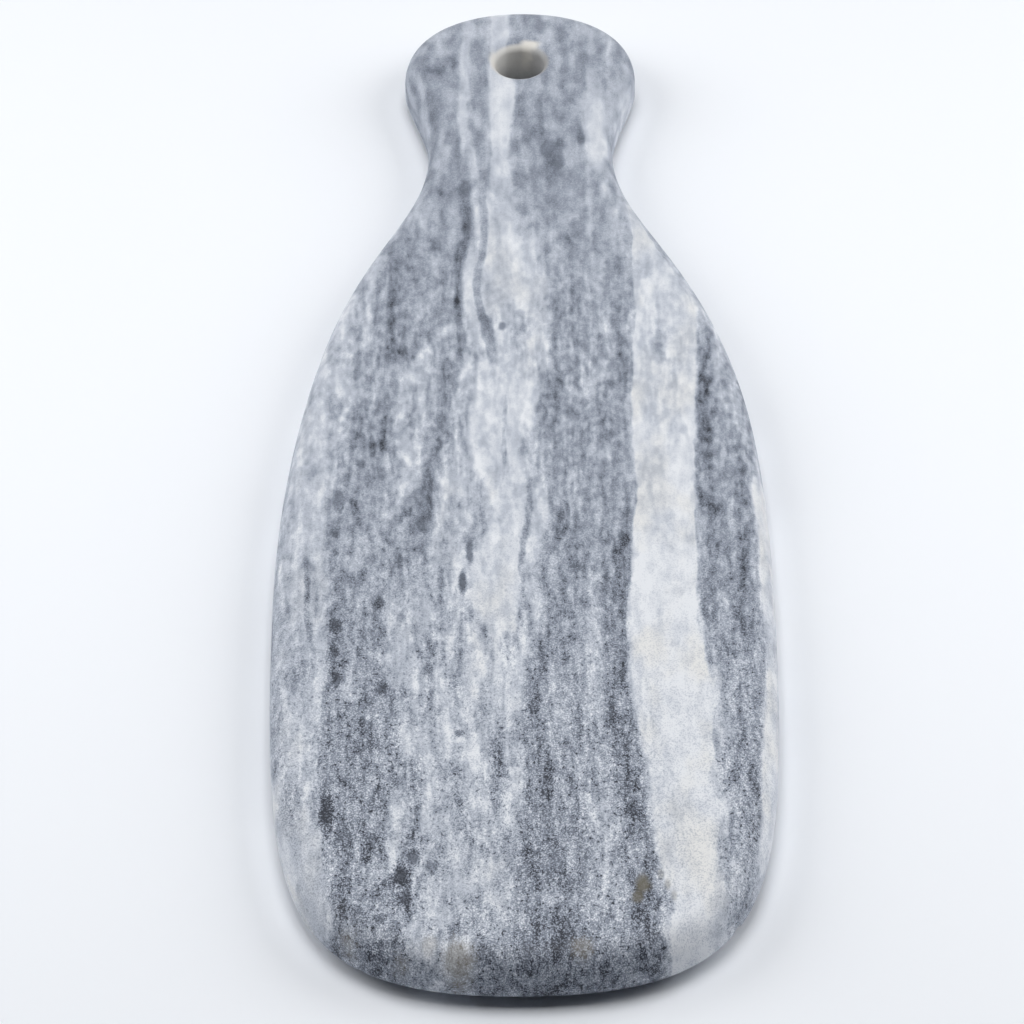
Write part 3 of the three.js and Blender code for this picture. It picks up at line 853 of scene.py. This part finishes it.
def warped(point, size, shift, seed, detail):
    """Moves the point by noise, by up to about a third of the shift each way on each axis."""
    colour = noise(point, size, seed, detail).output("Color")
    moved = point.node("VectorMath", {"operation": "MULTIPLY_ADD"}, {0: colour, 1: shift, 2: point})
    return moved.node("VectorMath", {"operation": "SUBTRACT"}, {0: moved, 1: [part / 2 for part in shift]})


def band_mask(band, across, along):
    """How much of a band covers a place.

    One ramp along the board holds the band's middle, half width and strength. The mask eases from 1 to 0 as
    the distance from the middle, in half widths, passes 1.
    """
    stops = [((place + ALONG_REACH) / (2 * ALONG_REACH),
              ((middle + ACROSS_REACH) / (2 * ACROSS_REACH), half / WIDEST_HALF, strength, 1))
             for place, middle, half, strength in band.stops]
    ramp = across.node("ValToRGB", {"stops": stops, "blending": "CARDINAL"}, {"Fac": along})
    route = across.node("SeparateColor", sockets={"Color": ramp})
    distance = abs(across - route)
    ratio = distance / (route.output("Green") * (WIDEST_HALF / (2 * ACROSS_REACH)))
    inside = rise(ratio, 1 + band.softness, 1 - band.softness)
    return inside * route.output("Blue")


def spot_mask(point, spots, ragged=0.0):
    """How much of any of the spots covers a place, the most of them counting.

    Each is an ellipsoid with soft sides, and ragged is added to the distance from its middle in half sizes.
    """
    cover = None
    for spot in spots:
        scale = (1 / spot.half_across, 1 / spot.half_along, 1 / SPOT_DEPTH)
        offset = (-spot.across / spot.half_across, -spot.along / spot.half_along, 0)
        reach = distance_from_middle(spread(point, scale, offset)) + ragged
        inside = reach.node("MapRange", {"interpolation_type": "SMOOTHSTEP"}, {
            "Value": reach, "From Min": SPOT_OUTER, "From Max": SPOT_INNER, "To Max": spot.strength})
        cover = inside if cover is None else cover.math("MAXIMUM", inside)
    return cover


def banded_tone(stone_point, ragged, clouds, streams, uneven):
    """Tone of the stone from its bands and spots, and the mask of each band by name.

    Clouds and streams make the stone between the bands. The bands are painted over it in their order, and
    then the pale and the dim spots.
    """
    place = ragged.node("SeparateXYZ", sockets={"Vector": ragged})
    across = (place + ACROSS_REACH) / (2 * ACROSS_REACH)
    along = (place.output("Y") + ALONG_REACH) / (2 * ALONG_REACH)
    masks = {band.name: band_mask(band, across, along) for band in BANDS}
    tone = clouds * 0.5 + streams * 0.5 + BASE_LIFT
    for band in BANDS:
        tone = blended(masks[band.name], tone, band.tone)
    tone = blended(spot_mask(stone_point, PALE_SPOTS, uneven), tone, PALE_TONE)
    tone = blended(spot_mask(stone_point, DIM_SPOTS, uneven), tone, DIM_TONE)
    return tone, masks


def drilled_hole(colour, stone, stone_point, hole_along, hole_radius):
    """Tints the hole: painted light on one side of its wall, bare stone on the other, painted shade deep
    down.
    """
    beside = spread(stone_point, (1, 1, 0), (0, -hole_along / MM, 0))
    settings = {"operation": "DOT_PRODUCT"}
    side = beside.node("VectorMath", settings, {0: beside, 1: BARE_SIDE}, output="Value")
    # Painted light: one side of the wall is lighter than the other.
    wall = tinted(rise(side, -6.0, 4.0), opaque(stone.painted_hole_light), opaque(stone.drilled))
    height = stone_point.node("SeparateXYZ", sockets={"Vector": stone_point}, output="Z")
    # Painted shade: the wall darkens deeper in the hole.
    wall = tinted(rise(height, -5.0, -15.0) * 0.75, wall, opaque(stone.bore))
    drilled = rise(distance_from_middle(beside), hole_radius / MM + 2.2, hole_radius / MM + 0.6)
    return tinted(drilled * 0.75, colour, wall)


def marble_finish(stone, hole_along, hole_radius):
    """Banded marble, solid through the slab.

    Works in millimetres from the middle of the top face. One noise bends the stone, a second makes the
    sides of the bands ragged, and a third makes the streaks flow. Noises from clouds down to flecks are
    added to the tone of the bands and spots, most in the dark bands, and towards the knob the finer ones
    give way to mottling. One band is painted shade on the front edge, and a few spots are painted shade
    and painted highlights on the edges. The grain is bright in dark stone and dark in pale stone. A ramp
    turns the tone into colour. Warmth in the whites, earth at the front edge, stains, the drilled hole with
    painted light on one side of its wall, painted shade deep down and painted highlights on its rim, and
    the chips are tinted over it. Honing leaves a matt face with a fine relief.
    """
    material, start = new_finish("honed_marble")
    stone_point = in_millimetres(start, SLAB_HIGH.z)
    bent = warped(stone_point, (14, 30, 14), (3, 5, 3), seed=1, detail=2)
    ragged = warped(bent, (2.0, 6, 2.0), (1.5, 3.5, 1.5), seed=2, detail=2)
    flow = warped(bent, (9, 22, 9), (2.5, 6, 2.5), seed=14, detail=1)

    clouds = noise(bent, (6, 11, 6), seed=3, detail=2, coarse=0.45)
    streams = noise(flow, (4.5, 34, 9), seed=16, detail=2, coarse=0.4)
    mottle = noise(bent, (3.6, 8.0, 3.6), seed=18, detail=1, coarse=0.3)
    streaks = noise(flow, (1.7, 15, 5), seed=4, detail=1, coarse=0.4)
    veins = noise(flow, (5, 45, 9), seed=15, detail=1)
    islands = noise(flow, (2.0, 5.0, 2.6), seed=5, detail=1, coarse=0.45)
    specks = noise(bent, (2.0, 3.8, 2.0), seed=19, detail=1, coarse=0.4)
    flecks = noise(stone_point, (0.9, 1.4, 0.9), seed=6, detail=1)
    grain = noise(stone_point, (0.42, 0.5, 0.42), seed=8, detail=0)
    uneven = (noise(bent, (4, 6, 4), seed=17, detail=1, coarse=0.45) - 0.5) * 1.2

    # Busy and deep are 1 in dark stone. Near and far are 1 at the front and at the knob.
    tone, masks = banded_tone(stone_point, ragged, clouds, streams, uneven)
    busy = rise(tone, 1.0, 0.60) * (1 - masks["front left margin"] * 0.75)
    busy = busy * (1 - masks["left margin"] * 0.3)
    deep = rise(tone, 0.85, 0.40)
    place_along = ragged.node("SeparateXYZ", sockets={"Vector": ragged}, output="Y")
    near = rise(place_along, MIDDLE_PLACE, FRONT_PLACE)
    far = rise(place_along, MIDDLE_PLACE, KNOB_PLACE)
    calm = 1 - far * 0.75

    tone = tone + (clouds - 0.5) * (0.4 - busy * 0.1)
    tone = tone + (streams - 0.5) * (busy * 0.4 + 0.2) * (1 - far * 0.6)
    tone = tone + (rise(mottle, 0.25, 0.75) - 0.5) * far * (busy * 0.22 + 0.05)
    tone = tone + (streaks - 0.5) * (busy * 0.42 + 0.10) * calm
    tone = tone + (rise(specks, 0.28, 0.72) - 0.5) * (busy * 0.2 + 0.04) * (1 - near * 0.8) * calm
    vein_lines = rise(abs(veins - 0.5), 0.05, 0.0) * rise(clouds, 0.45, 0.65)
    tone = tone - vein_lines * (busy * 0.08 + 0.06) * near
    tone = tone + (rise(islands, 0.34, 0.66) - 0.5) * (near * 0.07 + 0.15) * (busy * 0.85 + 0.15) * calm
    tone = tone - rise(flecks, 0.60, 0.72) * (busy * 0.32 + 0.08) * (near * 0.8 + 0.2)
    tone = tone + (rise(flecks, 0.40, 0.30) * 0.16 - 0.015) * busy * near
    tone = tone - rise(mottle, 0.55, 0.80) * (1 - busy) * (0.22 - near * 0.17)
    lean = deep * -0.16 + 0.08
    speckle = (rise(grain + lean, 0.32, 0.68) - 0.5 - lean * 2.4) * stone.grain * (near * 0.75 + 0.25)
    broken = (islands - 0.5) * 0.9 + (grain - 0.5) * near * 1.1
    open_stone = 1 - spot_mask(stone_point, BLACK_SPOTS, broken)
    tone = tone * open_stone + speckle * (deep * 0.38 + 0.24) * (open_stone * 0.7 + 0.3)

    stone_colours = (stone.black, stone.dark, stone.grey, stone.pale, stone.white)
    stops = [(position, opaque(part)) for position, part in zip(TONE_STOPS, stone_colours)]
    colour = tone.node("ValToRGB", {"stops": stops}, {"Fac": tone})
    warmth = noise(stone_point, (16, 34, 16), seed=9, detail=3)
    warm = tinted(rise(warmth, 0.48, 0.68) * (1 - busy), PURE_WHITE, opaque(stone.cream))
    colour = filtered(colour, warm)
    colour = tinted(spot_mask(stone_point, EARTH_SPOTS, broken), colour, opaque(stone.earth))
    colour = tinted(spot_mask(stone_point, STAIN_SPOTS, uneven), colour, opaque(stone.stain))
    colour = drilled_hole(colour, stone, stone_point, hole_along, hole_radius)
    # Painted highlights on the rim of the hole.
    colour = tinted(spot_mask(stone_point, RIM_HIGHLIGHT_SPOTS, uneven), colour, opaque(stone.painted_hole_light))
    chip = start.node("Attribute", {"attribute_name": "chip"}, output="Fac")
    colour = tinted(rise(chip, 0.02, 0.3), colour, opaque(stone.fracture))

    sheen = noise(stone_point, (5, 8, 5), seed=10, detail=3)
    rough = (sheen - 0.5) * 0.2 + (grain - 0.5) * 0.15 + stone.roughness
    relief = start.node("Bump", sockets={"Strength": 0.35, "Distance": stone.relief, "Height": grain})
    show(start, start.node("BsdfPrincipled", sockets={
        "Base Color": colour, "Roughness": rough, "Normal": relief, "Specular IOR Level": 0.3}))
    return material


def rubber_finish(feet):
    """Matt moulded rubber: dust gathers in patches, over a fine moulded grain."""
    material, start = new_finish("bumper_rubber")
    point = in_millimetres(start)
    dust = noise(point, (2.2, 2.2, 1.2), seed=11, detail=4)
    grain = noise(point, (0.12, 0.12, 0.12), seed=12, detail=2)
    colour = tinted(rise(dust, 0.5, 0.75) * 0.6, opaque(feet.rubber), opaque(feet.dust))
    rough = (dust - 0.5) * 0.3 + feet.rubber_roughness
    relief = start.node("Bump", sockets={"Strength": 0.3, "Distance": 0.03 * MM, "Height": grain})
    show(start, start.node("BsdfPrincipled", sockets={
        "Base Color": colour, "Roughness": rough, "Normal": relief}))
    return material


def adhesive_finish(feet):
    """Soft pale adhesive: cloudy, yellowed in patches, with a satin face."""
    material, start = new_finish("adhesive_film")
    point = in_millimetres(start)
    clouds = noise(point, (1.5, 1.5, 0.8), seed=13, detail=3)
    colour = tinted(rise(clouds, 0.4, 0.7), opaque(feet.adhesive), opaque(feet.adhesive_age))
    rough = (clouds - 0.5) * 0.3 + feet.adhesive_roughness
    relief = start.node("Bump", sockets={"Strength": 0.2, "Distance": 0.05 * MM, "Height": clouds})
    show(start, start.node("BsdfPrincipled", sockets={
        "Base Color": colour, "Roughness": rough, "Normal": relief}))
    return material


def round_place(node):
    """Middle in plan, radius, lowest and highest height of a round CAD node."""
    low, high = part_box(node)
    middle = (low + high) / 2
    return (middle.x, middle.y), (high.x - low.x) / 2, low.z, high.z


def declare(piece, node):
    """Says that a piece rides on the board and stands for a CAD node, whose part it hides."""
    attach(piece, BODY)
    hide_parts(node)


class BOARD_OT_marble_slab(bpy.types.Operator):
    """Make the banded marble slab with its rounded edges, hanging hole and chips"""

    bl_idname = "board.marble_slab"
    bl_label = "Marble Slab"

    def execute(self, context):
        settings = context.scene.serving_board
        shape = settings.slab
        points, depth = slab_surface(shape)
        faces = closed_grid_faces(*points.shape[:2])
        hole_along = shape.length / 2 - shape.hole_from_end
        marble = marble_finish(settings.stone, hole_along, shape.hole_diameter / 2)
        piece = mesh_piece("honed_slab", points.reshape(-1, 3), faces, marble)
        chip = piece.data.attributes.new("chip", "FLOAT", "POINT")
        chip.data.foreach_set("value", depth.ravel().astype(np.float32))
        declare(piece, SLAB_NODE)
        return {"FINISHED"}


class BOARD_OT_bumper_feet(bpy.types.Operator):
    """Make the four moulded bumper feet"""

    bl_idname = "board.bumper_feet"
    bl_label = "Bumper Feet"

    def execute(self, context):
        rubber = rubber_finish(context.scene.serving_board.feet)
        for place in FOOT_PLACES:
            node = place + "_foot"
            middle, radius, low, high = round_place(node)
            piece = turned_piece(place + "_bumper", middle, foot_profile(radius, low, high), rubber)
            declare(piece, node)
        return {"FINISHED"}


class BOARD_OT_adhesive_discs(bpy.types.Operator):
    """Make the adhesive discs that bond the feet"""

    bl_idname = "board.adhesive_discs"
    bl_label = "Adhesive Discs"

    def execute(self, context):
        adhesive = adhesive_finish(context.scene.serving_board.feet)
        for place in FOOT_PLACES:
            node = place + "_adhesive"
            middle, radius, low, high = round_place(node)
            piece = turned_piece(place + "_film", middle, adhesive_profile(radius, low, high), adhesive)
            declare(piece, node)
        return {"FINISHED"}


# The camera, worked out from the round hole and the edges of the board in the photograph.
IMAGE_WIDTH_PX = 1024
FOCAL_LENGTH_PX = 7000
SENSOR_WIDTH_MM = 36.0
CAMERA_PITCH = math.radians(40.68)
CAMERA_YAW = math.radians(-0.448)
CAMERA_ROLL = math.radians(-0.967)
CAMERA_DISTANCE = 2122.9 * MM
CAMERA_TARGET = Vector((-3.3, -22.7, 10.8)) * MM
CAMERA_NEAR = 0.1

# The floor, the distances between which it passes into the white backdrop, the lamps and the sky.
FLOOR_HALF = 4.0
FLOOR_FADE_START = 0.33
FLOOR_FADE_END = 0.75
LAMP_PLACE = Vector((0.0, 0.04, 1.6))
SIDE_PLACE = Vector((0.9, 0.2, 0.65))
SKY_TINT = (0.90, 0.95, 1.0, 1.0)


def add_camera(scene):
    """A camera that looks along (sin yaw cos pitch, cos yaw cos pitch, -sin pitch), rolled about it."""
    forward = Vector((math.sin(CAMERA_YAW) * math.cos(CAMERA_PITCH),
                      math.cos(CAMERA_YAW) * math.cos(CAMERA_PITCH), -math.sin(CAMERA_PITCH)))
    level = forward.cross(Vector((0, 0, 1))).normalized()
    upright = level.cross(forward)
    right = level * math.cos(CAMERA_ROLL) + upright * math.sin(CAMERA_ROLL)
    up = upright * math.cos(CAMERA_ROLL) - level * math.sin(CAMERA_ROLL)
    data = bpy.data.cameras.new("view_camera")
    data.sensor_width = SENSOR_WIDTH_MM
    data.lens = FOCAL_LENGTH_PX / IMAGE_WIDTH_PX * SENSOR_WIDTH_MM
    data.clip_start = CAMERA_NEAR
    camera = bpy.data.objects.new("view_camera", data)
    turn = Matrix((right, up, -forward)).transposed().to_4x4()
    camera.matrix_world = Matrix.Translation(CAMERA_TARGET - forward * CAMERA_DISTANCE) @ turn
    scene.collection.objects.link(camera)
    scene.camera = camera


def backdrop_rays(start):
    """1 for rays from the camera, gloss or something clear, which see the white backdrop, and else 0."""
    rays = start.node("LightPath", output="Is Camera Ray")
    glossy = rays.math("MAXIMUM", rays.output("Is Glossy Ray"))
    return glossy.math("MAXIMUM", rays.output("Is Transmission Ray"))


def add_floor(scene, studio):
    """A wide plain floor under the feet, which far from the board passes into the white backdrop."""
    low = CAD_BOX[0][2]
    corners = [(-FLOOR_HALF, -FLOOR_HALF, low), (FLOOR_HALF, -FLOOR_HALF, low),
               (FLOOR_HALF, FLOOR_HALF, low), (-FLOOR_HALF, FLOOR_HALF, low)]
    mesh = bpy.data.meshes.new("studio_floor")
    mesh.from_pydata(corners, [], [(0, 1, 2, 3)])
    material, start = new_finish("pale_floor")
    plain = start.node("BsdfDiffuse", sockets={"Color": opaque(studio.floor)})
    backdrop = start.node("Emission", sockets={"Color": PURE_WHITE, "Strength": 1.0})
    distance = distance_from_middle(start.node("TexCoord", output="Object"))
    fade = rise(distance, FLOOR_FADE_START, FLOOR_FADE_END) * backdrop_rays(start)
    show(start, start.node("MixShader", sockets={0: fade, 1: plain, 2: backdrop}))
    mesh.materials.append(material)
    floor = bpy.data.objects.new("studio_floor", mesh)
    scene.collection.objects.link(floor)


def add_softbox(scene, name, place, power, width):
    """A square softbox that faces the middle of the floor."""
    data = bpy.data.lights.new(name, "AREA")
    data.energy = power
    data.size = width
    lamp = bpy.data.objects.new(name, data)
    lamp.matrix_world = Matrix.Translation(place) @ (-place).to_track_quat("-Z", "Y").to_matrix().to_4x4()
    scene.collection.objects.link(lamp)


def add_light(scene, studio):
    """A softbox above, a large one at each side, and a dim sky.

    The sky's light fades towards the ground, and the camera sees the sky as white.
    """
    add_softbox(scene, "upper_softbox", LAMP_PLACE, studio.lamp_power, studio.lamp_width)
    for name, place in (("right_softbox", SIDE_PLACE), ("left_softbox", SIDE_PLACE * Vector((-1, 1, 1)))):
        add_softbox(scene, name, place, studio.side_power, studio.side_width)
    world = bpy.data.worlds.new("studio_sky")
    world.use_nodes = True
    world.node_tree.nodes.clear()
    start = Wire(world.node_tree)
    seen = backdrop_rays(start)
    way = start.node("TexCoord", output="Generated")
    upwards = way.node("SeparateXYZ", sockets={"Vector": way}, output="Z")
    tint = tinted(seen, SKY_TINT, PURE_WHITE)
    strength = blended(seen, rise(upwards, -0.05, 0.75) * studio.sky, 1.0)
    glow = start.node("Background", sockets={"Color": tint, "Strength": strength})
    start.node("OutputWorld", sockets={"Surface": glow})
    scene.world = world


class BOARD_OT_stage(bpy.types.Operator):
    """Set the camera, the floor and the soft studio light"""

    bl_idname = "board.stage"
    bl_label = "Studio"

    def execute(self, context):
        scene = context.scene
        scene.view_settings.view_transform = "Standard"
        add_camera(scene)
        add_floor(scene, scene.serving_board.studio)
        add_light(scene, scene.serving_board.studio)
        return {"FINISHED"}


class BOARD_PT_sidebar(bpy.types.Panel):
    """Lists the makers of the pieces and the settings that they read"""

    bl_idname = "BOARD_PT_sidebar"
    bl_label = "Serving Board"
    bl_space_type = "VIEW_3D"
    bl_region_type = "UI"
    bl_category = "Serving Board"

    def draw(self, context):
        layout = self.layout
        for operator in OPERATORS:
            layout.operator(operator.bl_idname)
        settings = context.scene.serving_board
        for group in (settings.slab, settings.stone, settings.feet, settings.studio):
            box = layout.box()
            box.label(text=group.bl_rna.description)
            for name in group.__annotations__:
                box.prop(group, name)


GROUPS = (SlabShape, StoneFinish, FootFinish, StudioLook, BoardSettings)
OPERATORS = (BOARD_OT_stage, BOARD_OT_marble_slab, BOARD_OT_bumper_feet, BOARD_OT_adhesive_discs)
CLASSES = (*GROUPS, *OPERATORS, BOARD_PT_sidebar)


def register():
    """Registers the classes and hangs the settings on the scene."""
    for part in CLASSES:
        bpy.utils.register_class(part)
    bpy.types.Scene.serving_board = bpy.props.PointerProperty(
        type=BoardSettings, name="Serving board", description="Settings of the serving board")


def unregister():
    """Takes the settings off the scene and unregisters the classes."""
    del bpy.types.Scene.serving_board
    for part in reversed(CLASSES):
        bpy.utils.unregister_class(part)


def main():
    """Registers the add-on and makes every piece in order."""
    register()
    bpy.ops.board.stage()
    bpy.ops.board.marble_slab()
    bpy.ops.board.bumper_feet()
    bpy.ops.board.adhesive_discs()


if __name__ == "__main__":
    main()
